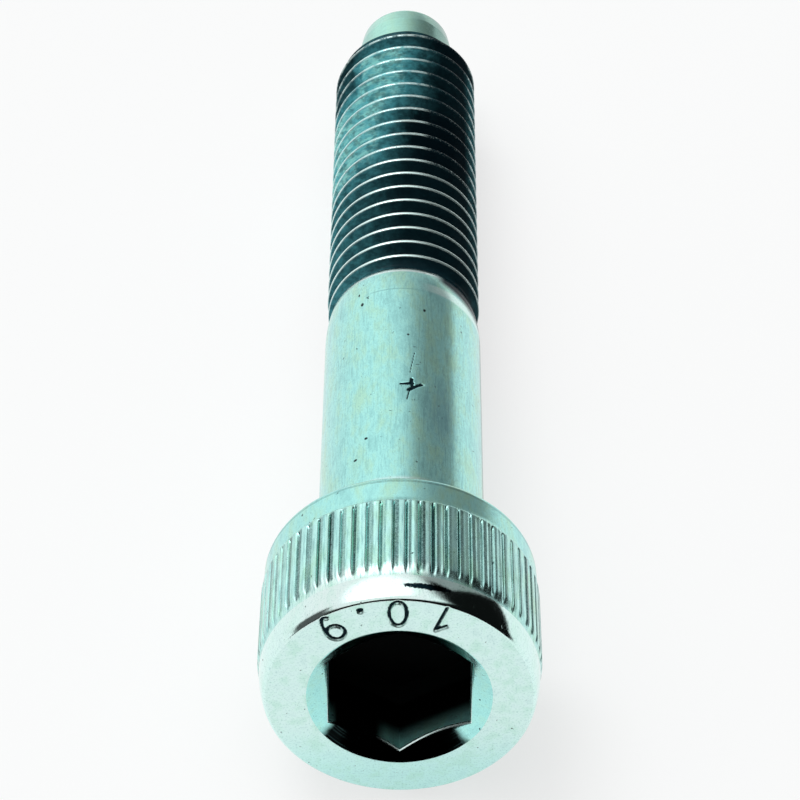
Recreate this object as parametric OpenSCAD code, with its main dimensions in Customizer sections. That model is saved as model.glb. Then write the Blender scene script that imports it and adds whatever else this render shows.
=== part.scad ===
// Hex socket cap screw with a knurled head, a plain shank, a right-hand
// helical thread and a short dog point. One solid piece of plated steel.
// It is built along its own axis, with the head's face at height 0 and the
// point upwards, and is then laid down so that it rests on two ridges of the
// knurl and on the last high crest of the thread.

/* [Screw] */
// Length under the head
length = 56.2; // [50:0.2:80]
// Plain shank between the head and the thread
plain_length = 23.6; // [18:0.2:26]
// Diameter of the plain shank
shank_d = 9.86; // [9.84:0.02:10]

/* [Head] */
// Height of the head
head_h = 9.8; // [9.6:0.1:10.6]
// Diameter of the smooth bands of the head
head_d = 15.84; // [15.7:0.02:16]
// Number of ridges of the knurl, an odd number so that one is on top
ridges = 67; // [61:2:75]
// Depth of the grooves of the knurl
groove_depth = 0.3; // [0.2:0.05:0.4]

/* [Socket] */
// Width across the flats of the hexagon
across_flats = 8; // [7.9:0.02:8.2]
// Depth of the flats of the hexagon
socket_depth = 5.4; // [5:0.1:5.8]
// Diameter of the bevel round the mouth
mouth_d = 10.5; // [10.2:0.1:11]

/* [Thread] */
// Distance from one crest to the next
pitch = 1.5; // [1.25, 1.5]
// Diameter over the crests
crest_d = 9.8; // [9.74:0.02:9.82]

/* [Point] */
// Diameter of the dog point
dog_d = 6.6; // [6:0.1:7]
// Length of the dog point beyond the bevel of the thread
dog_length = 3.8; // [3:0.1:4.4]

/* [Hidden] */

$fn = 96;
eps = 0.01;
total_length = head_h + length;

// Head: rounded front edge, knurl between two smooth bands, rounded back edge
head_r = head_d / 2;
face_r = head_r - 0.5;
front_edge_r = head_r - 0.24;
front_edge_at = 0.22;
front_round_h = 1.1;
back_round = 0.4;
edge_steps = 6;
ridge_r = head_r + 0.13;
groove_r = ridge_r - groove_depth;
knurl_from = 1.7;
knurl_to = head_h - 2.05;
knurl_slope = 0.5;
ridge_step = 360 / ridges;
ridge_top_share = 0.5;
fillet = 0.6;

// Socket: bevelled mouth, hexagon, cone at the bottom
mouth_slope = 0.62;
cone_h = 0.9;

// Shank: a bevel leads down to the blank of the thread
bevel_length = 2.5;
bevel_r = 4.62;
shank_end = head_h + plain_length;

// Thread profile: 60 degree flanks, a crest and a root that are flat
crest_r = crest_d / 2;
thread_depth = 0.6134 * pitch;
root_r = crest_r - thread_depth;
half_crest = pitch / 16;
flank = thread_depth * tan(30);
blank_r = crest_r - 0.4;
run_in = 0.7;

// The crest passes the top of the lying screw at this distance past the shank
first_top_crest = 1;
helix_from = shank_end + first_top_crest - 0.75 * pitch;
blank_from = shank_end - 0.9;
turn_steps = 36;

// Point: a 45 degree bevel takes the thread down to the dog
dog_r = dog_d / 2;
dog_round = 0.35;
dog_taper_length = 1.4;
dog_taper = 0.15;
core_r = dog_r - 0.1;
lead_from = total_length - dog_length - (crest_r - dog_r);
turns = ceil((lead_from + thread_depth - helix_from + half_crest + flank) / pitch);
thread_top = helix_from + (turns + 1) * pitch;

// Rest: two ridges at the knurl's back end and the last crest underneath
rest_knurl_r = ridge_r * cos(ridge_step * (1 - ridge_top_share) / 2);
rest_knurl_at = knurl_to;
crest_below = helix_from + 0.25 * pitch;
last_crest = floor((lead_from - crest_below + half_crest) / pitch);
rest_thread_at = min(crest_below + last_crest * pitch + half_crest, lead_from);
tilt = atan((rest_knurl_r - crest_r) / (rest_thread_at - rest_knurl_at));
lift = rest_knurl_at * sin(tilt) + rest_knurl_r * cos(tilt);
y_near = -face_r * sin(tilt);
y_far = total_length * cos(tilt) + (dog_r - dog_taper - dog_round) * sin(tilt);

// Head without its knurl: a turned shape with a shallow band for the ridges
module head_blank() {
    front = [for (i = [0 : edge_steps])
        let (a = 90 * i / edge_steps)
        [front_edge_r + (head_r - front_edge_r) * sin(a),
            front_edge_at + front_round_h * (1 - cos(a))]];
    back = [for (i = [0 : edge_steps])
        let (a = 90 * i / edge_steps)
        [head_r - back_round * (1 - cos(a)), head_h - back_round * (1 - sin(a))]];
    band_r = groove_r - 0.1;
    rotate_extrude()
        polygon(concat(
            [[0, 0], [face_r, 0]],
            front,
            [
                [head_r, knurl_from],
                [band_r, knurl_from + knurl_slope],
                [band_r, knurl_to - knurl_slope],
                [head_r, knurl_to]
            ],
            back,
            [[0, head_h]]
        ));
}

// Ridges of the knurl: flat-topped, with narrow V grooves between them
module knurl() {
    outline = [for (i = [0 : ridges - 1])
        let (mid = 90 + (i + 0.5) * ridge_step)
        let (half_top = ridge_step * ridge_top_share / 2)
        each [
            ridge_r * [cos(mid - half_top), sin(mid - half_top)],
            ridge_r * [cos(mid + half_top), sin(mid + half_top)],
            groove_r * [cos(mid + ridge_step / 2), sin(mid + ridge_step / 2)]
        ]];
    intersection() {
        translate([0, 0, knurl_from])
            linear_extrude(knurl_to - knurl_from)
                polygon(outline);
        rotate_extrude()
            polygon([
                [0, knurl_from - eps],
                [head_r, knurl_from - eps],
                [ridge_r + 0.3, knurl_from + knurl_slope],
                [ridge_r + 0.3, knurl_to + eps],
                [0, knurl_to + eps]
            ]);
    }
}

// Hexagon socket with a bevelled mouth and a cone at the bottom
module socket() {
    corner_r = across_flats / 2 / cos(30);
    mouth_h = (mouth_d / 2 - across_flats / 2) * mouth_slope;
    translate([0, 0, -1])
        rotate([0, 0, 30])
            cylinder(r = corner_r, h = socket_depth + 1, $fn = 6);
    translate([0, 0, -eps])
        cylinder(r1 = mouth_d / 2, r2 = across_flats / 2, h = mouth_h);
    translate([0, 0, socket_depth - eps])
        cylinder(r1 = across_flats / 2 - 0.2, r2 = 0.4, h = cone_h);
}

// Plain shank with a fillet under the head and a bevel before the thread
module shank() {
    shank_r = shank_d / 2;
    sweep = [for (i = [0 : edge_steps])
        let (a = 90 * i / edge_steps)
        [shank_r + fillet * (1 - sin(a)), head_h + fillet * (1 - cos(a))]];
    rotate_extrude()
        polygon(concat(
            [[0, head_h - 1], [shank_r + fillet, head_h - 1]],
            sweep,
            [
                [shank_r, shank_end - bevel_length],
                [bevel_r, shank_end],
                [0, shank_end]
            ]
        ));
}

// How far the rolled thread has formed, from 0 at its start to 1
function formed(turn) = min(1, max(0, turn / run_in));

// Radius allowed by the bevel at the end of the thread
function lead_r(z) = max(core_r, min(crest_r, crest_r - (z - lead_from)));

// One line of the profile: height above the turn's crest, and its radius
function line_z(kind) = [-half_crest, half_crest, half_crest + flank,
    pitch - half_crest - flank][kind];
function line_r(kind, turn) = kind < 2
    ? blank_r + (crest_r - blank_r) * formed(turn)
    : blank_r - (blank_r - root_r) * formed(turn);

// Thread with its core, as one closed helical skin of right-hand sense.
// Column c stands at one angle, and its levels climb through the turns.
module thread() {
    n = turn_steps;
    levels = 4 * turns + 1;
    function spot(r, c, z) = [r * cos(360 * c / n), r * sin(360 * c / n), z];
    function thread_spot(c, level) =
        let (kind = (level + 3) % 4)
        let (turn = floor((level + 3) / 4) - 1 + c / n)
        let (z = helix_from + pitch * turn + line_z(kind))
        spot(min(line_r(kind, turn), lead_r(z)), c, z);

    skin = [for (c = [0 : n - 1]) for (k = [0 : levels - 1]) thread_spot(c, k)];
    foot = [for (c = [0 : n - 1]) spot(blank_r, c, blank_from)];
    top = [for (c = [0 : n - 1]) spot(core_r, c, thread_top)];

    function s(c, k) = c * levels + k;
    function f(c) = n * levels + c % n;
    function t(c) = n * levels + n + c % n;

    sides = [for (c = [0 : n - 2]) for (k = [0 : levels - 2])
        each [
            [s(c, k), s(c + 1, k + 1), s(c + 1, k)],
            [s(c, k), s(c, k + 1), s(c + 1, k + 1)]
        ]];
    seam = [for (k = [0 : levels - 6])
        each [
            [s(n - 1, k), s(0, k + 5), s(0, k + 4)],
            [s(n - 1, k), s(n - 1, k + 1), s(0, k + 5)]
        ]];
    below = [for (c = [0 : n - 2])
        each [
            [f(c), s(c, 0), s(c + 1, 0)],
            [f(c), s(c + 1, 0), f(c + 1)]
        ]];
    above = [for (c = [0 : n - 2])
        each [
            [s(c, levels - 1), t(c), t(c + 1)],
            [s(c, levels - 1), t(c + 1), s(c + 1, levels - 1)]
        ]];
    seam_below = concat(
        [[s(n - 1, 0), f(0), f(n - 1)], [s(n - 1, 0), s(0, 0), f(0)]],
        [for (k = [0 : 3]) [s(n - 1, 0), s(0, k + 1), s(0, k)]]
    );
    seam_above = concat(
        [for (k = [levels - 5 : levels - 2])
            [s(0, levels - 1), s(n - 1, k), s(n - 1, k + 1)]],
        [
            [s(0, levels - 1), s(n - 1, levels - 1), t(n - 1)],
            [s(0, levels - 1), t(n - 1), t(0)]
        ]
    );
    ends = [
        [for (c = [0 : n - 1]) f(c)],
        [for (c = [n - 1 : -1 : 0]) t(c)]
    ];
    polyhedron(
        concat(skin, foot, top),
        concat(sides, seam, below, above, seam_below, seam_above, ends)
    );
}

// Dog point, slightly tapered and with a rounded rim, running back inside the core
module dog_point() {
    end_r = dog_r - dog_taper;
    rim = [for (i = [0 : edge_steps])
        let (a = 90 * i / edge_steps)
        [end_r - dog_round * (1 - cos(a)), total_length - dog_round * (1 - sin(a))]];
    rotate_extrude()
        polygon(concat(
            [
                [0, lead_from - 2],
                [dog_r, lead_from - 2],
                [dog_r, total_length - dog_taper_length]
            ],
            rim,
            [[0, total_length]]
        ));
}

module screw() {
    difference() {
        union() {
            color("lightsteelblue") head_blank();
            color("lightsteelblue") knurl();
            color("lightsteelblue") shank();
            color("cadetblue") thread();
            color("cadetblue") dog_point();
        }
        color("slategray") socket();
    }
}

// Lying at rest, centred on the floor point, with the face towards -Y
module cap_screw() {
    translate([0, -(y_near + y_far) / 2, lift])
        rotate([-(90 + tilt), 0, 0])
            screw();
}

cap_screw();
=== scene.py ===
"""Looks of a hex socket cap screw that lies on the floor.

Until a mesh is made, lengths are in millimetres along the screw's own axis: s is the distance
from the head's face, x points to the right and the top of the lying screw is at negative y.
"""

import math

import bpy
import numpy as np
from mathutils import Matrix, Vector


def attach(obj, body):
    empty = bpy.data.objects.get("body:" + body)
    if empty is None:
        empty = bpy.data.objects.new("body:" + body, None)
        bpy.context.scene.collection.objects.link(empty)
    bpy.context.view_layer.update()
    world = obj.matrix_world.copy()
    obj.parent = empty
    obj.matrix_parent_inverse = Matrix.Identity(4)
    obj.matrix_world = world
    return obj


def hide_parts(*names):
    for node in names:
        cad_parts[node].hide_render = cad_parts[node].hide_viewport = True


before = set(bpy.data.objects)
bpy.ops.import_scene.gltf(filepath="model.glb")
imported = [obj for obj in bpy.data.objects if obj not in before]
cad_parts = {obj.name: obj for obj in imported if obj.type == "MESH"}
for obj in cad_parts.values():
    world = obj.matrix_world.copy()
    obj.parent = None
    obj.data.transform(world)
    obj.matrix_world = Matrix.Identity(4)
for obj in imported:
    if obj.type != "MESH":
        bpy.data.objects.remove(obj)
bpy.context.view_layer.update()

MM = 0.001
rng = np.random.default_rng(11)

# Sizes, with the names and values of the solid part
LENGTH = 56.2
PLAIN_LENGTH = 23.6
SHANK_R = 4.93
HEAD_H = 9.8
HEAD_R = 7.92
RIDGES = 67
GROOVE_DEPTH = 0.3
FLATS_R = 4.0
SOCKET_DEPTH = 5.4
MOUTH_R = 5.25
MOUTH_SLOPE = 0.62
CONE_H = 0.9
PITCH = 1.5
CREST_R = 4.9
DOG_R = 3.3
DOG_LENGTH = 3.8

TOTAL = HEAD_H + LENGTH
FACE_R = HEAD_R - 0.5
FRONT_EDGE_R = HEAD_R - 0.24
FRONT_EDGE_AT = 0.22
BACK_ROUND = 0.4
RIDGE_R = HEAD_R + 0.13
KNURL_FROM = 1.7
KNURL_TO = HEAD_H - 2.05
FILLET = 0.6
BEVEL_LENGTH = 2.5
BEVEL_R = 4.62
SHANK_END = HEAD_H + PLAIN_LENGTH
THREAD_DEPTH = 0.6134 * PITCH
ROOT_R = CREST_R - THREAD_DEPTH
HALF_CREST = PITCH / 16
FLANK = THREAD_DEPTH * math.tan(math.radians(30))
BLANK_R = CREST_R - 0.4
RUN_IN = 0.7
FIRST_TOP_CREST = 1.0
HELIX_FROM = SHANK_END + FIRST_TOP_CREST - 0.75 * PITCH
DOG_ROUND = 0.35
DOG_TAPER_LENGTH = 1.4
DOG_TAPER = 0.15
LEAD_FROM = TOTAL - DOG_LENGTH - (CREST_R - DOG_R)

# How the screw lies: on two ridges at the knurl's back end and on its last high crest
RIDGE_TOP_SHARE = 0.5
rest_knurl_r = RIDGE_R * math.cos(math.pi / RIDGES * (1 - RIDGE_TOP_SHARE))
crest_below = HELIX_FROM + 0.25 * PITCH
last_crest = math.floor((LEAD_FROM - crest_below + HALF_CREST) / PITCH)
rest_thread_at = min(crest_below + last_crest * PITCH + HALF_CREST, LEAD_FROM)
TILT = math.atan((rest_knurl_r - CREST_R) / (rest_thread_at - KNURL_TO))
LIFT = KNURL_TO * math.sin(TILT) + rest_knurl_r * math.cos(TILT)
Y_NEAR = -FACE_R * math.sin(TILT)
Y_FAR = TOTAL * math.cos(TILT) + (DOG_R - DOG_TAPER - DOG_ROUND) * math.sin(TILT)
LAY = -(math.pi / 2 + TILT)
TO_ROW = np.array([
    [1, 0, 0],
    [0, math.cos(LAY), -math.sin(LAY)],
    [0, math.sin(LAY), math.cos(LAY)],
])
SHIFT = np.array([0, -(Y_NEAR + Y_FAR) / 2, LIFT])


def to_row(points):
    """Points along the screw's own axis, in millimetres, to the row frame in metres."""
    return (np.asarray(points, float) @ TO_ROW.T + SHIFT) * MM


# Mesh helpers
def make_piece(name, points, faces, material_of=None, materials=()):
    """A closed smooth mesh from points (x, y, s, deep) along the screw's own axis.

    Its attribute 'place' keeps the point, and 'deep' how far down a groove it lies, 0 to 1; on
    the head's rim and the knurl's ridges 'deep' holds painted shade.
    """
    deep, points = points[:, 3], points[:, :3]
    mesh = bpy.data.meshes.new(name)
    mesh.from_pydata(to_row(points).tolist(), [], faces)
    place = mesh.attributes.new("place", "FLOAT_VECTOR", "POINT")
    place.data.foreach_set("vector", np.asarray(points, np.float32).ravel())
    down = mesh.attributes.new("deep", "FLOAT", "POINT")
    down.data.foreach_set("value", np.asarray(deep, np.float32))
    mesh.polygons.foreach_set("use_smooth", np.ones(len(mesh.polygons), bool))
    for m in materials:
        mesh.materials.append(m)
    if material_of is not None:
        mesh.polygons.foreach_set("material_index", np.asarray(material_of, np.int32))
    mesh.update()
    obj = bpy.data.objects.new(name, mesh)
    bpy.context.scene.collection.objects.link(obj)
    return obj


def ring_faces(rows, columns, first=0):
    """Quads between rings of points, each ring closed on itself."""
    k, c = np.meshgrid(np.arange(rows - 1), np.arange(columns), indexing="ij")
    n = (c + 1) % columns
    low, high = k * columns, (k + 1) * columns
    quads = np.stack([low + c, low + n, high + n, high + c], -1)
    return (quads.reshape(-1, 4) + first).tolist()


def cap_faces(first_ring, last_ring, columns, first_centre):
    """Fans that close a skin at its first and last ring, onto two centre points."""
    steps = [(c, (c + 1) % columns) for c in range(columns)]
    last_centre = first_centre + 1
    near = [[first_centre, first_ring + b, first_ring + a] for a, b in steps]
    far = [[last_centre, last_ring + a, last_ring + b] for a, b in steps]
    return near + far


def arc(turn, r, s, deep=0.0):
    """Points of one ring: each value may be one number or one a column."""
    r, s, deep = (np.broadcast_to(v, turn.shape) for v in (r, s, deep))
    return np.stack([r * np.cos(turn), r * np.sin(turn), s, deep], -1)


class Rings:
    """Rings of points, each with the number of the surface that leads up to it."""

    def __init__(self, turn):
        self.turn, self.points, self.surfaces = turn, [], []

    def add(self, r, s, surface=0, deep=0.0):
        self.points.append(arc(self.turn, r, s, deep))
        self.surfaces.append(surface)


def smooth(x):
    """Smoothstep from 0 to 1, level outside."""
    x = np.clip(x, 0, 1)
    return x * x * (3 - 2 * x)


def rounded(r, s, by, lean):
    """Radius and place on a rim that is rounded by a radius, at a lean of 0 to 90 degrees."""
    a = math.radians(lean)
    return r - by * (1 - math.cos(a)), s - by * (1 - math.sin(a))


def to_segment(p, a, b):
    """Distance of points from a straight stroke."""
    a, b = np.array(a, float), np.array(b, float)
    t = np.clip(((p - a) @ (b - a)) / ((b - a) @ (b - a)), 0, 1)
    return np.linalg.norm(p - a - t[..., None] * (b - a), axis=-1)


def to_path(p, points):
    """Distance of points from a path of straight strokes."""
    return np.min([to_segment(p, a, b) for a, b in zip(points, points[1:])], axis=0)


def oval(cx, cy, rx, ry, start, end, steps):
    """Path along an oval, from one angle to another in degrees."""
    t = np.radians(np.linspace(start, end, steps))
    return [(cx + rx * math.cos(v), cy + ry * math.sin(v)) for v in t]


# Figures stamped in the face: plain ones, whose strokes are paths round each figure's middle
STROKE = 0.15
STROKE_EDGE = 0.07
DOT_EXTRA = 0.09
STAMP_DEPTH = 0.16
GLYPH_H = 1.75
GLYPH_W = 0.98
GLYPH_AT_R = 6.5

TOP, LOW, HALF_W = GLYPH_H / 2, -GLYPH_H / 2, GLYPH_W / 2
LOOP_H = 0.52
GLYPHS = {
    "1": [[(-0.34, TOP - 0.5), (0.12, TOP), (0.12, LOW)]],
    "0": [oval(0, 0, HALF_W, TOP, 0, 360, 28)],
    ".": [[(0, LOW + 0.34), (0.01, LOW + 0.34)]],
    "9": [
        oval(0, TOP - LOOP_H, HALF_W, LOOP_H, 0, 360, 24),
        oval(-0.02, TOP - LOOP_H, HALF_W + 0.02, GLYPH_H - LOOP_H, -2, -112, 14),
    ],
}
# Each figure and its angle from the top of the lying screw, in degrees to the right
STAMPS = [("1", 21.6), ("0", -0.7), (".", -17.7), ("9", -34.5)]


def stamp_share(x, y):
    """How far down the stamped figures a point of the face lies, 0 to 1."""
    near = np.full(x.shape, np.inf)
    for figure, angle in STAMPS:
        a = math.radians(angle)
        out = np.array([math.sin(a), -math.cos(a)])
        up, right = -out, np.array([-math.cos(a), -math.sin(a)])
        offset = np.stack([x, y], -1) - GLYPH_AT_R * out
        p = np.stack([offset @ right, offset @ up], -1)
        extra = DOT_EXTRA if figure == "." else 0.0
        for path in GLYPHS[figure]:
            near = np.minimum(near, to_path(p, path) - extra)
    return 1 - smooth((near - STROKE / 2) / STROKE_EDGE)


# Head, with knurl and socket. Its surfaces are numbered in the order of its materials.
REAR, MOUTH, FACE, KNURL, BAND, DEPTH, FLATS, EDGE = range(8)

# Columns over one ridge, as shares of the step from groove to groove
RIDGE_COLUMNS = np.array([0, 0.05, 0.1, 0.16, 0.24, 0.36, 0.5, 0.64, 0.76, 0.84, 0.9, 0.95])
FACE_ROWS = 46
KNURL_DEPTH = 0.8 * GROOVE_DEPTH
KNURL_RISE = 0.9
CROWN = 0.012
BAND_CURVE = 1.5
EDGE_SOFT = 0.11
EDGE_WIDTH = 0.075


def head_columns():
    """Angle, ridge and place in the ridge of each column. One stands at each hexagon corner."""
    ridge = np.repeat(np.arange(RIDGES), len(RIDGE_COLUMNS))
    within = np.tile(RIDGE_COLUMNS, RIDGES)
    around = 2 * math.pi * ridge / RIDGES
    uneven = 0.05 * np.sin(5 * around) + 0.04 * np.sin(13 * around + 1)
    turn = math.pi / 2 + around + (within + uneven) * 2 * math.pi / RIDGES
    turn = turn % (2 * math.pi)
    order = np.argsort(turn)
    turn, ridge, within = turn[order], ridge[order], within[order]
    for corner in math.pi / 6 + math.pi / 3 * np.arange(6):
        turn[np.argmin(np.abs(turn - corner))] = corner
    return turn, ridge, within


turn_head, column_ridge, column_within = head_columns()


def hexagon_r(turn):
    """Distance from the axis to the hexagon's wall. Its flats face the X axis."""
    sixth = math.pi / 3
    return FLATS_R / np.cos((turn + sixth / 2) % sixth - sixth / 2)


def add_socket(rings):
    """From the bottom of the socket, up its walls and over their edge to the mouth's bevel."""
    wall = hexagon_r(rings.turn)
    bottom_r, cone_r = FLATS_R - 0.2, 0.4
    for r in (cone_r, 2.2, bottom_r):
        rings.add(r, SOCKET_DEPTH + CONE_H * (bottom_r - r) / (bottom_r - cone_r), DEPTH)
    rings.add((bottom_r + wall) / 2, SOCKET_DEPTH, DEPTH)
    rings.add(wall - 0.03, SOCKET_DEPTH, DEPTH)

    mouth_at = (MOUTH_R - wall) * MOUTH_SLOPE
    wall_from, wall_to = SOCKET_DEPTH - 0.02, mouth_at + EDGE_SOFT
    for share in (0.0, 0.3, 0.55, 0.72, 0.9, 1.0):
        s = wall_from + (wall_to - wall_from) * share
        rings.add(wall, s, DEPTH if share < 0.5 else FLATS)
    rings.add(wall + 0.006, mouth_at + 0.55 * EDGE_SOFT, EDGE)
    rings.add(wall + 0.03, mouth_at + 0.12 * EDGE_SOFT, EDGE)
    edge_r = wall + EDGE_WIDTH
    rings.add(edge_r, mouth_at - EDGE_WIDTH * MOUTH_SLOPE + 0.008, EDGE)
    for share in (0.15, 0.5, 0.8, 0.97):
        r = edge_r + (MOUTH_R - edge_r) * share
        rings.add(r, (MOUTH_R - r) * MOUTH_SLOPE, MOUTH)


def add_face(rings):
    """The stamped face, its rounded edge and the curved band behind it."""
    x, y = np.cos(rings.turn), np.sin(rings.turn)
    for r in np.linspace(MOUTH_R + 0.03, FACE_R - 0.02, FACE_ROWS):
        down = stamp_share(r * x, r * y)
        rings.add(r, STAMP_DEPTH * down, FACE, down)
    for share in (0.08, 0.25, 0.4, 0.55, 0.7, 0.85, 0.95):
        r = FACE_R + (FRONT_EDGE_R - FACE_R) * share
        down = stamp_share(r * x, r * y)
        s = FRONT_EDGE_AT * share ** 2.5 + STAMP_DEPTH * down
        rings.add(r, s, FACE if share < 0.3 else BAND, down)
    for share in (0.03, 0.1, 0.2, 0.35, 0.5, 0.65, 0.8, 0.95):
        r = HEAD_R - (HEAD_R - FRONT_EDGE_R) * (1 - share) ** 2
        rings.add(r, FRONT_EDGE_AT + BAND_CURVE * share, BAND)


def knurl_cut():
    """Depth of the grooves as a share, soil and painted shade, and the groove that is nearest to
    each column.

    Each groove is a little different, and each ridge has a half on its left that is painted
    darker, as painted shade.
    """
    ridge, t = column_ridge, column_within
    groove = np.where(t < 0.5, ridge, (ridge + 1) % RIDGES)
    deep = rng.uniform(0.6, 1.0, RIDGES)
    wide = rng.uniform(0.12, 0.2, RIDGES)
    cut = deep[groove] * (1 - smooth(np.minimum(t, 1 - t) / wide[groove]))
    twin_at = rng.uniform(0.3, 0.7, RIDGES)
    twin = np.where(rng.uniform(size=RIDGES) < 0.5, rng.uniform(0.2, 0.5, RIDGES), 0.0)
    scratch = twin[ridge] * np.clip(1 - np.abs(t - twin_at[ridge]) / 0.1, 0, 1)
    cut = np.clip(np.maximum(cut, scratch), 0, 1)
    shaded_half = rng.uniform(0.46, 0.7, RIDGES)[ridge]
    shaded_half = shaded_half * smooth((t - 0.04) / 0.08) * (1 - smooth((t - 0.36) / 0.2))
    return cut, np.maximum(cut, shaded_half), groove


def add_knurl(rings):
    """Rounded ridges, whose grooves begin a little unevenly and run out at both ends."""
    cut, soil_and_shade, groove = knurl_cut()
    crown = CROWN * (2 * np.abs(column_within - 0.5)) ** 2
    jitter = rng.uniform(-0.12, 0.12, RIDGES)
    start = KNURL_FROM + 0.05 + jitter[groove]
    rows = np.concatenate([
        KNURL_FROM + KNURL_RISE * np.linspace(0, 1, 8) ** 1.2,
        np.linspace(KNURL_FROM + 1.4, KNURL_TO - 0.9, 6),
        KNURL_TO - 0.45 * np.linspace(1, 0, 7),
    ])
    for s in rows:
        into = smooth((s - start) / 0.9) * smooth((KNURL_TO + 0.04 - s) / 0.55)
        rise = smooth((s - KNURL_FROM) / KNURL_RISE) * smooth((KNURL_TO + 0.02 - s) / 0.12)
        r = HEAD_R + (RIDGE_R - crown - HEAD_R) * rise - KNURL_DEPTH * cut * into
        # deep: soil and painted shade in the grooves, and painted shade on the ridges' left
        # halves
        rings.add(r, s, KNURL, soil_and_shade * np.clip(3 * into, 0, 1))


def add_rear(rings):
    """The smooth band behind the knurl, the rounded rim with painted shade, dark, and the bearing
    face.
    """
    for s, dark in (
        (KNURL_TO + 0.04, 0), (KNURL_TO + 0.3, 0), (HEAD_H - 0.62, 0),
        (HEAD_H - 0.53, 0.55), (HEAD_H - BACK_ROUND, 0.55),
    ):
        rings.add(HEAD_R, s, REAR, dark)
    for lean, dark in ((10, 0.2), (20, 0.3), (30, 0.7), (45, 1.0), (66, 1.0), (86, 0.5)):
        r, s = rounded(HEAD_R, HEAD_H, BACK_ROUND, lean)
        rings.add(r, s, REAR, dark)
    for r in (7.3, 6.4, 5.8, 5.0):
        rings.add(r, HEAD_H, REAR)


def build_head(materials):
    rings = Rings(turn_head)
    for add_part in (add_socket, add_face, add_knurl, add_rear):
        add_part(rings)
    rows, n = len(rings.points), len(turn_head)
    centres = [[0, 0, SOCKET_DEPTH + CONE_H, 0], [0, 0, HEAD_H, 0]]
    faces = ring_faces(rows, n) + cap_faces(0, (rows - 1) * n, n, rows * n)
    material_of = np.repeat(rings.surfaces[1:], n).tolist() + [DEPTH] * n + [REAR] * n
    points = np.concatenate([*rings.points, centres])
    return make_piece("screw_head", points, faces, material_of, materials)


# Shank, thread and dog point
SHANK_FROM = HEAD_H - 0.5
SHANK_COLUMNS = 150
NICK_S = 21.55
NICK_TURN = math.radians(-90 + 6.3)
NICK_DEPTH = 0.09
NICK_EDGE = 0.07

# Strokes of the nick and its scratches as paths, round the shank and along it from the nick's
# middle, and how much each is widened
NICK = [
    ([(-0.60, 0.0), (-0.22, 0.03)], 0.015),
    ([(-0.22, 0.03), (0.08, 0.08)], 0.05),
    ([(0.03, 0.10), (0.05, 0.48)], 0.03),
    ([(-0.12, -0.55), (0.25, -0.22)], 0.055),
    ([(0.25, -0.22), (0.66, 0.05)], 0.03),
    ([(0.02, 0.06), (0.14, -0.30)], 0.03),
    ([(-0.05, 1.10), (0.10, 2.20), (0.22, 3.00)], -0.05),
    ([(-0.22, -1.40), (-0.10, -0.70)], -0.04),
]

# Thread profile over one pitch: distance past the crest's centre, share of the full depth, soil
# and painted shade
PROFILE = [
    (-HALF_CREST - FLANK * 0.5, 0.5, 0.5),
    (-HALF_CREST - FLANK * 0.12, 0.12, 0.24),
    (-HALF_CREST - 0.012, 0.028, 0.08),
    (-HALF_CREST * 0.6, 0.0, 0.02),
    (HALF_CREST * 0.6, 0.0, 0.0),
    (HALF_CREST + 0.012, 0.028, 0.0),
    (HALF_CREST + FLANK * 0.12, 0.12, 0.02),
    (HALF_CREST + FLANK * 0.5, 0.5, 0.3),
    (HALF_CREST + FLANK * 0.85, 0.85, 0.85),
    (HALF_CREST + FLANK * 1.02, 0.975, 1.0),
    (PITCH / 2, 1.0, 1.0),
    (PITCH - HALF_CREST - FLANK * 1.02, 0.975, 1.0),
    (PITCH - HALF_CREST - FLANK * 0.85, 0.85, 0.85),
]


def shank_columns():
    """Angles of the columns: even, and close together where the shank is nicked."""
    even = np.radians(np.arange(0, 360, 360 / SHANK_COLUMNS))
    close = NICK_TURN % (2 * math.pi) + np.radians(np.arange(-9, 9.01, 0.5))
    away = np.abs((even - close.mean() + math.pi) % (2 * math.pi) - math.pi)
    return np.sort(np.concatenate([even[away > np.radians(10)], close]))


turn_shank = shank_columns()


def nick(s):
    """How far down the small star-shaped nick the points of a ring lie, 0 to 1."""
    u = SHANK_R * ((turn_shank - NICK_TURN + math.pi) % (2 * math.pi) - math.pi)
    p = np.stack([u, np.broadcast_to(s - NICK_S, u.shape)], -1)
    near = np.min([to_path(p, path) - wider for path, wider in NICK], axis=0)
    return 1 - smooth((near - 0.01) / NICK_EDGE)


def shank_rings():
    """Rings from inside the head, along the plain shank, to the blank of the thread."""
    rings = Rings(turn_shank)
    rings.add(5.2, SHANK_FROM)
    rings.add(SHANK_R + FILLET - 0.002, HEAD_H - 0.02)
    for a in np.radians([0, 18, 36, 54, 72, 90]):
        rings.add(SHANK_R + FILLET * (1 - math.sin(a)), HEAD_H + FILLET * (1 - math.cos(a)))
    bevel_from = SHANK_END - BEVEL_LENGTH
    plain = np.concatenate([
        np.linspace(HEAD_H + 1.2, NICK_S - 1.8, 9),
        np.linspace(NICK_S - 1.6, NICK_S + 3.3, 82),
        np.linspace(NICK_S + 3.6, bevel_from - 0.12, 6),
    ])
    for s in plain:
        down = nick(s)
        rings.add(SHANK_R - NICK_DEPTH * down, s, deep=down)
    for share in (0.0, 0.06, 0.15, 0.3, 0.45, 0.6, 0.75, 0.87, 0.95):
        drop = (SHANK_R - BEVEL_R) * (0.2 * share + 0.8 * share ** 2.5)
        rings.add(SHANK_R - drop, bevel_from + BEVEL_LENGTH * share)
    for r, past, deep in (
        (BEVEL_R - 0.012, 0, 0), (BEVEL_R - 0.05, 0.03, 0),
        (BLANK_R + 0.02, 0.05, 0.6), (BLANK_R, 0.07, 1),
    ):
        rings.add(r, SHANK_END + past, deep=deep)
    return rings.points


def formed(turns):
    """How far the rolled thread has formed, from 0 at its start to 1."""
    return smooth(np.clip(turns / RUN_IN, 0, 1))


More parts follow.
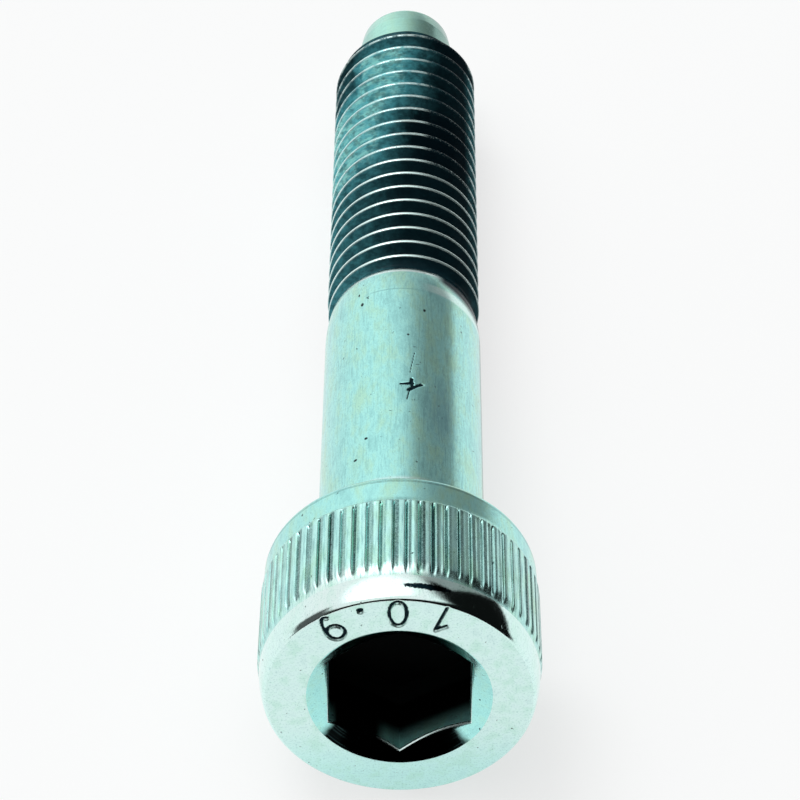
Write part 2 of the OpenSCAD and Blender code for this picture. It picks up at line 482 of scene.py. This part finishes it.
def lead_r(z):
    """Radius that the bevel at the end of the thread allows."""
    return np.maximum(DOG_R, np.minimum(CREST_R, CREST_R - (z - LEAD_FROM)))


def thread_lines():
    """Lines of the profile. Each climbs one pitch a turn, and the last ones fade into the dog."""
    share = turn_shank / (2 * math.pi)
    turns = math.ceil((LEAD_FROM + THREAD_DEPTH - HELIX_FROM + PITCH) / PITCH)
    # lines that would begin below the thread crowd together just above its lowest point
    lowest, ease = SHANK_END + 0.1, 0.3
    lines = []
    for t in range(turns):
        form = formed(t + share)
        crest = BLANK_R + (CREST_R - BLANK_R) * form
        root = BLANK_R - (BLANK_R - ROOT_R) * form
        for away, depth, soil_and_shade in PROFILE:
            z = HELIX_FROM + PITCH * (t + share) + away
            eased = lowest + ease * np.exp((z - lowest - ease) / ease)
            z = np.where(z < lowest + ease, eased, z)
            r = crest - (crest - root) * depth
            on_dog = smooth((z - LEAD_FROM - 1.1) / 0.4)
            down = soil_and_shade * np.clip(form * 2, 0.3, 1) * (1 - on_dog)
            lines.append(arc(turn_shank, np.minimum(r, lead_r(z)), z, down))
    return lines


def point_rings(dog_from):
    """Rings of the dog point, slightly tapered and with a rounded rim."""
    rings = Rings(turn_shank)
    taper_from = TOTAL - DOG_TAPER_LENGTH
    for s in (dog_from, (dog_from + taper_from) / 2, taper_from - 0.05):
        rings.add(DOG_R, s)
    rings.add(DOG_R - 0.01, taper_from + 0.05)
    for lean in (0, 22, 45, 68, 88):
        rings.add(*rounded(DOG_R - DOG_TAPER, TOTAL, DOG_ROUND, lean))
    rings.add(1.5, TOTAL)
    return rings.points


def thread_faces(n, levels, foot, base, above):
    """Faces of the thread's skin. A turn's last column meets the next turn's first.

    n, levels: columns, and lines over all turns.
    foot, base, above: the first point of the ring below, of the skin and of the ring above.
    """
    kinds, last, top = len(PROFILE), n - 1, levels - 1

    def at(c, k):
        return base + k * n + c

    faces = []
    for k in range(top):
        faces += [[at(c, k), at(c + 1, k), at(c + 1, k + 1), at(c, k + 1)] for c in range(last)]
    for k in range(top - kinds):
        faces.append([at(last, k), at(0, k + kinds), at(0, k + kinds + 1), at(last, k + 1)])
    faces += [[foot + c, foot + c + 1, at(c + 1, 0), at(c, 0)] for c in range(last)]
    faces += [[at(c, top), at(c + 1, top), above + c + 1, above + c] for c in range(last)]
    faces.append([foot + last, foot, at(0, 0), at(last, 0)])
    faces += [[at(last, 0), at(0, k), at(0, k + 1)] for k in range(kinds)]
    faces += [[at(0, top), at(last, k + 1), at(last, k)] for k in range(top - kinds, top)]
    faces.append([at(last, top), at(0, top), above, above + last])
    return faces


def build_shank(material):
    rings, lines = shank_rings(), thread_lines()
    point = point_rings(lines[-1][:, 2].max() + 0.15)
    n = len(turn_shank)
    base = len(rings) * n
    above = base + len(lines) * n
    centre = above + len(point) * n
    faces = ring_faces(len(rings), n)
    faces += thread_faces(n, len(lines), base - n, base, above)
    faces += ring_faces(len(point), n, above)
    faces += cap_faces(0, centre - n, n, centre)
    centres = [[0, 0, SHANK_FROM, 0], [0, 0, TOTAL, 0]]
    points = np.concatenate([*rings, *lines, *point, centres])
    return make_piece("screw_shank", points, faces, None, [material])


# Materials
class Nodes:
    """Short calls for a material's or the world's nodes."""

    def __init__(self, tree):
        self.tree = tree
        tree.nodes.clear()

    def add(self, kind, **settings):
        node = self.tree.nodes.new(kind)
        for key, value in settings.items():
            setattr(node, key, value)
        return node

    def feed(self, socket, value):
        if isinstance(value, bpy.types.NodeSocket):
            self.tree.links.new(value, socket)
        else:
            socket.default_value = value

    def math(self, operation, a, b=0.0, clamp=False):
        node = self.add("ShaderNodeMath", operation=operation, use_clamp=clamp)
        self.feed(node.inputs[0], a)
        self.feed(node.inputs[1], b)
        return node.outputs[0]

    def plus(self, a, b):
        return self.math("ADD", a, b)

    def minus(self, a, b):
        return self.math("SUBTRACT", a, b)

    def times(self, a, b):
        return self.math("MULTIPLY", a, b)

    def larger(self, a, b):
        return self.math("MAXIMUM", a, b)

    def ramp(self, value, low, high, to_low=0.0, to_high=1.0, kind="SMOOTHSTEP"):
        node = self.add("ShaderNodeMapRange", interpolation_type=kind)
        for index, v in enumerate((value, low, high, to_low, to_high)):
            self.feed(node.inputs[index], v)
        return node.outputs[0]

    def between(self, value, low, low_full, high_full, high):
        """1 between two values, falling to 0 at a lower and a higher one."""
        return self.times(self.ramp(value, low, low_full), self.ramp(value, high, high_full))

    def near(self, value, at, none, full):
        """1 within a distance of a value, falling to 0 at a larger distance."""
        return self.ramp(self.math("ABSOLUTE", self.minus(value, at)), none, full)

    def mix(self, share, a, b):
        node = self.add("ShaderNodeMix", data_type="RGBA")
        self.feed(node.inputs["Factor"], share)
        colour_a, colour_b = node.inputs[6], node.inputs[7]
        self.feed(colour_a, a)
        self.feed(colour_b, b)
        return node.outputs[2]

    def scaled(self, vector, by):
        node = self.add("ShaderNodeVectorMath", operation="MULTIPLY")
        self.feed(node.inputs[0], vector)
        node.inputs[1].default_value = by
        return node.outputs[0]

    def noise(self, vector, scale, detail=3.0, rough=0.55):
        node = self.add("ShaderNodeTexNoise")
        self.feed(node.inputs["Vector"], vector)
        node.inputs["Scale"].default_value = scale
        node.inputs["Detail"].default_value = detail
        node.inputs["Roughness"].default_value = rough
        return node.outputs[0]


def rgb(r, g, b):
    return (r, g, b, 1.0)


PLATE = rgb(0.43, 0.87, 0.83)
PLATE_KNURL = rgb(0.56, 0.95, 0.90)
PLATE_PALE = rgb(0.75, 0.98, 0.94)
PLATE_BLUER = rgb(0.56, 0.96, 0.92)
# colour of the painted highlight on the band
PLATE_HIGHLIGHT = rgb(0.76, 0.88, 0.86)
PLATE_WHITE = rgb(0.84, 0.98, 0.96)
PLATE_GREEN = rgb(0.46, 0.80, 0.64)
PLATE_DEEP = rgb(0.20, 0.44, 0.44)
PATCH_BLUE_GREY = rgb(0.16, 0.32, 0.42)
DOG_SHADE = rgb(0.05, 0.11, 0.10)
PATINA = rgb(0.14, 0.55, 0.62)
PATINA_PALE = rgb(0.42, 0.88, 0.84)
GROOVE_DARK = rgb(0.022, 0.066, 0.07)
# black: dirt in pits and grooves, and painted shade and reflection on the stamps, the head's rim,
# the band and the right side of shank and thread
DIRT_AND_SHADE = rgb(0.003, 0.011, 0.016)
# blacks of the painted shade in the socket
SOCKET_BLACK = rgb(0.002, 0.003, 0.003)
SOCKET_GREY = rgb(0.003, 0.004, 0.004)


class Plate(Nodes):
    """Zinc plating: blue-green metal with cloudy colour, fine grain and streaks."""

    def __init__(self, name, streak):
        self.material = bpy.data.materials.new(name)
        self.material.use_nodes = True
        super().__init__(self.material.node_tree)
        self.place = self.add("ShaderNodeAttribute", attribute_name="place").outputs["Vector"]
        apart = self.add("ShaderNodeSeparateXYZ")
        self.feed(apart.inputs[0], self.place)
        self.x, self.y, self.s = apart.outputs
        self.clouds = self.stretched((0.9, 0.9, 0.35), 5.0, 0.65)
        self.lines = self.stretched((9.0, 9.0, streak))
        self.grain = self.noise(self.place, 9.0, 4.0, 0.7)
        self.pit = self.ramp(self.noise(self.place, 2.6, 3.0, 0.6), 0.69, 0.73)

    def stretched(self, by, detail=3.0, rough=0.55):
        """Noise with its own scale along each axis."""
        return self.noise(self.scaled(self.place, by), 1.0, detail, rough)

    def distance(self, at, by):
        """Distance from a point, with its own scale along each axis."""
        off = self.add("ShaderNodeVectorMath", operation="SUBTRACT")
        self.feed(off.inputs[0], self.place)
        off.inputs[1].default_value = at
        length = self.add("ShaderNodeVectorMath", operation="LENGTH")
        self.feed(length.inputs[0], self.scaled(off.outputs[0], by))
        return length.outputs["Value"]

    def groove(self):
        """How far down a groove the point lies, and on the head's rim and the knurl's ridges how
        much painted shade, a little uneven.
        """
        deep = self.add("ShaderNodeAttribute", attribute_name="deep").outputs["Fac"]
        return self.times(deep, self.ramp(self.grain, 0.35, 0.7, 1.0, 0.75))

    def metal(self, base, streaks, clouded):
        """The plating's colour: greener and deeper clouds, streaks, grain and small pits."""
        green = self.times(self.ramp(self.clouds, 0.42, 0.68), clouded)
        colour = self.mix(green, base, PLATE_GREEN)
        for share in (
            self.times(self.ramp(self.clouds, 0.50, 0.30), 0.35 * clouded),
            self.times(self.ramp(self.lines, 0.46, 0.72), streaks),
            self.times(self.ramp(self.grain, 0.52, 0.70), 0.35),
        ):
            colour = self.mix(share, colour, PLATE_DEEP)
        return self.mix(self.times(self.pit, 0.8), colour, DIRT_AND_SHADE)

    def shaded_lower_left(self, colour):
        """Painted shade: black on the lower left side of the hexagon."""
        lower_left_shade = self.times(self.ramp(self.x, -0.7, -1.4), self.ramp(self.y, 2.3, 2.6))
        return self.mix(lower_left_shade, colour, SOCKET_BLACK)

    def finish(self, colour, rough, metallic=1.0, gloss=0.5):
        """The material itself. rough: its roughness on the smoothest and the roughest grain."""
        shader = self.add("ShaderNodeBsdfPrincipled")
        self.feed(shader.inputs["Base Color"], colour)
        self.feed(shader.inputs["Roughness"], self.ramp(self.grain, 0.3, 0.75, *rough))
        self.feed(shader.inputs["Metallic"], metallic)
        self.feed(shader.inputs["Specular IOR Level"], gloss)
        bump = self.add("ShaderNodeBump")
        height = self.plus(self.times(self.grain, 0.6), self.times(self.lines, 0.4))
        self.feed(bump.inputs["Height"], self.minus(height, self.times(self.pit, 1.5)))
        bump.inputs["Strength"].default_value = 0.3
        bump.inputs["Distance"].default_value = 0.012 * MM
        self.feed(shader.inputs["Normal"], bump.outputs[0])
        out = self.add("ShaderNodeOutputMaterial")
        self.feed(out.inputs[0], shader.outputs[0])
        return self.material


def front_highlight(n, base, highlight):
    """A painted highlight: paler plating on the left of the head's top, by its front."""
    share = n.times(n.ramp(n.s, 3.4, 1.8), n.between(n.x, -7.2, -4.0, 0.5, 3.2))
    return n.mix(share, base, highlight)


def rear_material(name):
    """The band behind the knurl and the bearing face, with the rim's painted shade."""
    n = Plate(name, 2.0)
    colour = n.mix(n.ramp(n.groove(), 0.3, 0.9), n.metal(PLATE, 0.2, 1.0), DIRT_AND_SHADE)
    return n.finish(colour, (0.16, 0.28))


def mouth_material(name):
    """The bevel of the socket's mouth, turned, with painted shade, black, on its lower part."""
    n = Plate(name, 7.0)
    far = n.math("SQRT", n.plus(n.times(n.x, n.x), n.times(n.y, n.y)))
    low = n.math("DIVIDE", n.minus(n.y, n.times(n.x, 0.08)), far)
    low = n.plus(low, n.times(n.minus(n.clouds, 0.5), 0.12))
    # painted shade: black on the lower part
    colour = n.mix(n.ramp(low, 0.56, 0.67), n.metal(PLATE, 0.1, 0.5), SOCKET_BLACK)
    turned = n.ramp(n.noise(far, 5.0, 2.0), 0.5, 0.7)
    return n.finish(n.mix(n.times(turned, 0.2), colour, PLATE_DEEP), (0.08, 0.14))


def face_material(name):
    """The face: pale, a little bluer below, with stamped figures painted dark as the shade in
    them.
    """
    n = Plate(name, 7.0)
    base = n.mix(n.times(n.ramp(n.y, 1.5, 6.5), 0.75), PLATE_PALE, PLATE_BLUER)
    colour = n.mix(n.ramp(n.groove(), 0.45, 0.8), n.metal(base, 0.1, 0.45), DIRT_AND_SHADE)
    return n.finish(colour, (0.3, 0.42))


def knurl_material(name):
    """The knurl: bright ridges with a painted highlight on the left front and painted shade on
    their left halves, and dark grooves of soil and painted shade.
    """
    n = Plate(name, 0.6)
    metal = n.metal(front_highlight(n, PLATE_KNURL, PLATE_WHITE), 0.7, 1.0)
    return n.finish(n.mix(n.ramp(n.groove(), 0.22, 0.8), metal, GROOVE_DARK), (0.2, 0.32))


# A painted dark reflection, black, on the band behind the face: its middle, and half its size
# across and along
DARK_REFLECTION_X, DARK_REFLECTION_S = 1.5, 0.9
DARK_REFLECTION_HALF_X, DARK_REFLECTION_HALF_S = 1.4, 0.2


def band_material(name):
    """The shiny band behind the face, with a painted highlight on the left and a painted dark
    reflection, black, right of the middle.
    """
    n = Plate(name, 2.0)
    metal = n.metal(front_highlight(n, PLATE_PALE, PLATE_HIGHLIGHT), 0.1, 0.3)
    colour = n.mix(n.ramp(n.groove(), 0.3, 0.9), metal, DIRT_AND_SHADE)
    across = n.math("DIVIDE", n.minus(n.x, DARK_REFLECTION_X), DARK_REFLECTION_HALF_X)
    along = n.math("DIVIDE", n.minus(n.s, DARK_REFLECTION_S), DARK_REFLECTION_HALF_S)
    far = n.plus(n.times(across, across), n.times(along, along))
    far = n.plus(far, n.times(n.minus(n.grain, 0.5), 3.0))
    return n.finish(n.mix(n.ramp(far, 1.1, 0.8), colour, DIRT_AND_SHADE), (0.07, 0.12))


def depth_material(name):
    """The bottom of the socket: painted black as the shade in it, and almost without a
    reflection.
    """
    material = bpy.data.materials.new(name)
    material.use_nodes = True
    n = Nodes(material.node_tree)
    shader = n.add("ShaderNodeBsdfPrincipled")
    place = n.add("ShaderNodeAttribute", attribute_name="place").outputs["Vector"]
    patch = n.ramp(n.noise(place, 2.0), 0.4, 0.7)
    n.feed(shader.inputs["Base Color"], n.mix(patch, SOCKET_BLACK, SOCKET_GREY))
    shader.inputs["Roughness"].default_value = 0.7
    shader.inputs["Specular IOR Level"].default_value = 0.1
    out = n.add("ShaderNodeOutputMaterial")
    n.feed(out.inputs[0], shader.outputs[0])
    return material


def flats_material(name):
    """The hexagon's walls: satin by the mouth, painted black further in as shade, and with
    painted shade on their lower left.
    """
    n = Plate(name, 7.0)
    colour = n.mix(n.ramp(n.s, 0.85, 2.3), n.metal(PLATE, 0.2, 0.5), SOCKET_BLACK)
    return n.finish(n.shaded_lower_left(colour), (0.5, 0.6))


def edge_material(name):
    """The bright edge between the hexagon's walls and the mouth's bevel, with painted shade on
    its lower left.
    """
    n = Plate(name, 2.0)
    return n.finish(n.shaded_lower_left(n.metal(PLATE_WHITE, 0.0, 0.2)), (0.2, 0.3))


# Pits in the plain shank: where they are, and half their size across and along
PITS = [
    ((-2.54, -4.23, 30.1), (0.10, 0.16)),
    ((-2.75, -4.09, 31.2), (0.06, 0.14)),
    ((1.35, -4.74, 28.9), (0.08, 0.13)),
    ((-2.10, -4.46, 17.0), (0.11, 0.11)),
    ((-2.70, -4.12, 15.4), (0.12, 0.10)),
    ((0.35, -4.92, 26.3), (0.08, 0.09)),
]


# A darker blue-grey patch: where it is, and its scale across and along
PATCH_AT = (2.4, -4.3, 19.5)
PATCH_SCALE = (0.8, 0.8, 0.28)


def mark_plain_shank(n, colour):
    """The plain shank's pits, its darker patch, its painted highlights, a dark line where the
    bevel begins and painted shade along its right side.
    """
    for at, (across, along) in PITS:
        far = n.distance(at, (1 / across, 1 / across, 1 / along))
        far = n.plus(far, n.times(n.grain, 0.8))
        colour = n.mix(n.ramp(far, 1.6, 1.2), colour, DIRT_AND_SHADE)
    patch = n.plus(n.distance(PATCH_AT, PATCH_SCALE), n.clouds)
    colour = n.mix(n.times(n.ramp(patch, 1.7, 0.7), 0.32), colour, PATCH_BLUE_GREY)
    # painted highlights, pale: the rim, the bevel's beginning on the right, and the part next to
    # the head
    rim = n.times(n.near(n.s, SHANK_END - 0.17, 0.40, 0.24), n.ramp(n.x, 3.4, 1.6))
    colour = n.mix(n.times(rim, 0.9), colour, PLATE_WHITE)
    shoulder = n.times(n.near(n.s, SHANK_END - 2.05, 0.55, 0.25), n.ramp(n.x, 0.9, 2.4))
    colour = n.mix(n.times(shoulder, 0.8), colour, PLATE_PALE)
    by_head = n.ramp(n.s, HEAD_H + 3.5, HEAD_H + 3.0)
    by_head = n.times(by_head, n.between(n.x, -3.2, -1.4, 1.2, 3.0))
    colour = n.mix(n.times(by_head, 0.7), colour, PLATE_WHITE)
    # dark: a line where the bevel begins, and painted shade on the far right
    line = n.near(n.s, SHANK_END - BEVEL_LENGTH, 0.09, 0.02)
    line = n.times(line, n.between(n.x, -2.6, -1.6, 0.2, 1.6))
    colour = n.mix(n.times(line, 0.5), colour, PLATE_DEEP)
    side = n.times(n.ramp(n.x, 4.80, 4.90), n.ramp(n.s, SHANK_END, SHANK_END - 1.0))
    return n.mix(n.times(side, 0.7), colour, DIRT_AND_SHADE)


def mark_dog(n, colour, on_dog):
    """The dog point is greener than the shank, and painted darker towards both sides as shade."""
    colour = n.mix(n.times(on_dog, 0.6), colour, PLATE_GREEN)
    right = n.times(on_dog, n.ramp(n.x, -0.3, 2.6))
    colour = n.mix(n.times(right, 0.62), colour, DOG_SHADE)
    left = n.times(on_dog, n.ramp(n.x, -1.9, -3.0))
    return n.mix(n.times(left, 0.5), colour, PLATE_DEEP)


def thread_soil_and_shade(n):
    """Colour in the grooves: a teal patina where they are clean, else black soil.

    They are cleaner on the left, in the middle and towards the point; the black on the right side
    is painted shade.
    """
    clouds = n.minus(n.clouds, 0.5)
    s = n.plus(n.s, n.times(clouds, 9.0))
    x = n.plus(n.x, n.times(clouds, 3.0))
    # black on the right: painted shade
    clean = n.ramp(x, 0.2, -5.2, 0.015, 0.42)
    in_middle, in_upper = n.ramp(s, 43.0, 48.0), n.ramp(s, 50.0, 54.0)
    for aim, share in (
        (n.ramp(x, 0.8, -3.2), in_middle),
        (n.ramp(x, 2.6, -1.2, 0.02, 0.85), in_upper),
    ):
        clean = n.plus(clean, n.times(n.minus(aim, clean), share))
    far_right = n.times(n.ramp(n.x, 4.0, 4.7), n.ramp(n.s, 36.0, 52.0, 0.08, 0.25))
    clean = n.plus(clean, far_right)
    clean = n.times(clean, n.ramp(n.s, LEAD_FROM - 2.6, LEAD_FROM - 0.4, 1.0, 0.2))
    upper_left = n.times(n.ramp(x, -2.6, -3.8), n.ramp(n.s, 54.0, 56.0))
    clean = n.times(clean, n.minus(1.0, n.times(upper_left, 0.8)))
    pale = n.ramp(n.stretched((1.2, 1.2, 9.0), 3.0, 0.6), 0.38, 0.62, 0.2, 1.0)
    pale = n.times(pale, n.ramp(clean, 0.55, 0.85))
    mottled = n.ramp(n.stretched((1.6, 1.6, 4.0), 4.0, 0.7), 0.32, 0.68, 0.5, 1.4)
    clean = n.math("MULTIPLY", clean, mottled, clamp=True)
    return n.mix(clean, DIRT_AND_SHADE, n.mix(pale, PATINA, PATINA_PALE))


def crest_soil_and_shade(n):
    """How dark the thread's crests are painted: soil, with painted shade on the right, more
    towards the point.
    """
    high = n.ramp(n.s, 41.0, 48.0)
    right = n.between(n.x, 0.3, 2.2, 4.2, 4.75)
    gone = n.ramp(n.stretched((1.8, 1.8, 0.9), 4.0, 0.6), 0.38, 0.62, 0.02, 0.12)
    crest_dark = n.times(right, n.ramp(high, 0.0, 1.0, 0.075, 0.16))
    crest_dark = n.larger(crest_dark, n.times(high, 0.075))
    crest_dark = n.larger(crest_dark, n.ramp(n.x, 3.2, 4.0, 0.0, 0.09))
    crest_dark = n.larger(crest_dark, n.times(n.ramp(n.s, 49.0, 55.0), gone))
    return n.times(crest_dark, n.ramp(n.grain, 0.3, 0.6, 0.7, 1.2))


def shank_material(name):
    """Plain shank with pits, painted highlights and painted shade, soiled thread with a teal
    patina and painted shade on its right, and a turned dog point.
    """
    n = Plate(name, 0.7)
    on_dog = n.ramp(n.s, LEAD_FROM + 0.9, LEAD_FROM + 1.4)
    not_dog = n.minus(1.0, on_dog)
    turned = n.stretched((0.4, 0.4, 7.0))
    n.lines = n.plus(n.times(n.lines, not_dog), n.times(turned, on_dog))
    dashes = n.ramp(n.stretched((6.0, 6.0, 3.0), 3.0, 0.7), 0.48, 0.64)
    colour = n.mix(n.times(dashes, 0.22), n.metal(PLATE, 0.35, 1.0), PLATE_DEEP)
    colour = mark_dog(n, mark_plain_shank(n, colour), on_dog)

    # the thread: bright crests, soil in its grooves, painted shade on its right side, and painted
    # shade over the bevel's right side
    in_thread = n.times(n.ramp(n.s, SHANK_END + 0.02, SHANK_END + 0.07), not_dog)
    colour = n.mix(in_thread, colour, n.mix(0.8, colour, PLATE_WHITE))
    down = n.larger(n.groove(), n.times(in_thread, crest_soil_and_shade(n)))
    outwards = n.plus(n.s, n.times(n.x, 0.35))
    # painted shade: dark over the bevel's right side
    bevel_shade = n.times(n.ramp(outwards, SHANK_END - 0.65, SHANK_END + 0.3), n.ramp(n.x, 1.6, 2.7))
    bevel_shade = n.times(bevel_shade, n.ramp(n.s, SHANK_END + 0.2, SHANK_END))
    soil_and_shade_share = n.larger(n.ramp(down, 0.01, 0.16), bevel_shade)
    colour = n.mix(soil_and_shade_share, colour, thread_soil_and_shade(n))
    metallic = n.minus(1.0, n.times(soil_and_shade_share, 0.97))
    gloss = n.minus(0.5, n.times(soil_and_shade_share, 0.48))
    return n.finish(colour, (0.16, 0.28), metallic, gloss)


head = build_head([
    rear_material("zinc_plate_head"),
    mouth_material("zinc_plate_mouth"),
    face_material("zinc_plate_face"),
    knurl_material("zinc_plate_knurl"),
    band_material("zinc_plate_band"),
    depth_material("socket_depth"),
    flats_material("zinc_plate_flats"),
    edge_material("zinc_plate_edge"),
])
shank = build_shank(shank_material("zinc_plate_shank"))
for piece in (head, shank):
    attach(piece, "root")
    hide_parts("cap_screw")


# Floor, light and camera
OWN_LIGHT = 0.7
FLOOR_HALF = 3.0


def floor_material():
    """Pale paper, much of its brightness its own, so that the shadow on it stays light."""
    material = bpy.data.materials.new("pale_floor")
    material.use_nodes = True
    n = Nodes(material.node_tree)
    paper = n.add("ShaderNodeBsdfDiffuse")
    paper.inputs["Color"].default_value = rgb(0.93, 0.94, 0.94)
    white = n.add("ShaderNodeEmission")
    white.inputs["Color"].default_value = rgb(1.0, 1.0, 1.0)
    path = n.add("ShaderNodeLightPath")
    seen = n.larger(path.outputs["Is Camera Ray"], path.outputs["Is Glossy Ray"])
    seen = n.larger(seen, path.outputs["Is Transmission Ray"])
    both = n.add("ShaderNodeMixShader")
    n.feed(both.inputs[0], n.times(seen, OWN_LIGHT))
    n.feed(both.inputs[1], paper.outputs[0])
    n.feed(both.inputs[2], white.outputs[0])
    out = n.add("ShaderNodeOutputMaterial")
    n.feed(out.inputs[0], both.outputs[0])
    return material


floor_mesh = bpy.data.meshes.new("floor")
floor_mesh.from_pydata(
    [(-FLOOR_HALF, -FLOOR_HALF, 0), (FLOOR_HALF, -FLOOR_HALF, 0),
     (FLOOR_HALF, FLOOR_HALF, 0), (-FLOOR_HALF, FLOOR_HALF, 0)],
    [], [(0, 1, 2, 3)])
floor_mesh.materials.append(floor_material())
floor = bpy.data.objects.new("floor", floor_mesh)
bpy.context.scene.collection.objects.link(floor)


def direction(azimuth, elevation):
    """Unit vector towards a place on the horizon: 0 is +Y and 90 is +X."""
    a, e = math.radians(azimuth), math.radians(elevation)
    return Vector((math.sin(a) * math.cos(e), math.cos(a) * math.cos(e), math.sin(e)))


SOFTBOX = direction(-35, 64)
KEY_LIGHT = direction(-50, 66)


def build_world():
    """A bright studio with a dark side, low in front and higher on the right.

    The metal shows the dark side as dark bands on its right and on all that faces forwards.
    """
    world = bpy.data.worlds.new("studio")
    bpy.context.scene.world = world
    world.use_nodes = True
    n = Nodes(world.node_tree)
    towards = n.add("ShaderNodeTexCoord").outputs["Generated"]
    apart = n.add("ShaderNodeSeparateXYZ")
    n.feed(apart.inputs[0], towards)
    x, y, z = apart.outputs
    level = n.math("SQRT", n.plus(n.times(x, x), n.times(y, y)))
    level = n.larger(level, 0.001)
    to_side, to_back = n.math("DIVIDE", x, level), n.math("DIVIDE", y, level)

    # how high the dark reaches: highest on the right and in front
    top = n.ramp(n.minus(to_side, n.times(to_back, 0.35)), -0.45, 0.45, 0.62, 0.85)
    under = n.ramp(n.minus(top, z), -0.04, 0.08)
    # how dark it is: from behind to the right it grows little by little, then all is black
    behind = n.ramp(to_side, -0.39, 0.40, 0.0, 0.71, "LINEAR")
    limit = n.ramp(to_side, -0.3, 0.3, 0.35, 0.73)
    higher = n.times(n.ramp(z, 0.64, 0.72), n.ramp(to_side, -0.3, 0.3, 0.0, 0.25))
    full = n.ramp(n.minus(n.plus(limit, higher), to_back), -0.025, 0.04)
    full = n.times(full, n.ramp(to_side, -0.9, -0.5, 0.90, 0.995))
    # a pale backdrop just above the horizon, behind and on the left
    at_back = n.times(n.ramp(to_back, 0.70, 0.76), n.ramp(z, 0.11, 0.02))
    at_left = n.times(n.ramp(to_side, -0.90, -0.97), n.ramp(z, 0.15, 0.09))
    dark = n.times(under, n.larger(full, behind))
    dark = n.times(dark, n.minus(1.0, n.larger(at_back, at_left)))

    softbox = n.add("ShaderNodeVectorMath", operation="DOT_PRODUCT")
    n.feed(softbox.inputs[0], towards)
    softbox.inputs[1].default_value = SOFTBOX
    glow = n.ramp(softbox.outputs["Value"], 0.87, 0.96, 0.0, 0.6)
    background = n.add("ShaderNodeBackground")
    background.inputs["Color"].default_value = rgb(0.98, 1.0, 1.0)
    n.feed(background.inputs["Strength"], n.plus(n.minus(1.0, dark), glow))
    out = n.add("ShaderNodeOutputWorld")
    n.feed(out.inputs[0], background.outputs[0])


build_world()


def sun(name, towards, strength, angle):
    """A soft distant lamp: its strength, and its width in degrees."""
    data = bpy.data.lights.new(name, "SUN")
    data.energy = strength
    data.angle = math.radians(angle)
    lamp = bpy.data.objects.new(name, data)
    lamp.rotation_euler = towards.to_track_quat("Z", "Y").to_euler()
    bpy.context.scene.collection.objects.link(lamp)


sun("key_left", KEY_LIGHT, 0.9, 30)

# The camera: where the photograph was taken from and its axes, along the screw's own axis
CAMERA_AT = (0.7767, -120.1221, -117.4480)
CAMERA_RIGHT = (0.999976, -0.000491, 0.006849)
CAMERA_FORWARD = (-0.004934, 0.642308, 0.766431)
LENS = 134.845
SENSOR_WIDTH = 36.0
CLIP_START = 0.005

camera_data = bpy.data.cameras.new("camera")
camera_data.lens = LENS
camera_data.sensor_width = SENSOR_WIDTH
camera_data.clip_start = CLIP_START
camera = bpy.data.objects.new("camera", camera_data)
at = Vector(to_row(CAMERA_AT))
back = -Vector(TO_ROW @ CAMERA_FORWARD).normalized()
up = back.cross(Vector(TO_ROW @ CAMERA_RIGHT)).normalized()
right = up.cross(back)
camera.matrix_world = Matrix((
    (right.x, up.x, back.x, at.x),
    (right.y, up.y, back.y, at.y),
    (right.z, up.z, back.z, at.z),
    (0, 0, 0, 1),
))
bpy.context.scene.collection.objects.link(camera)
bpy.context.scene.camera = camera
bpy.context.scene.view_settings.view_transform = "Standard"
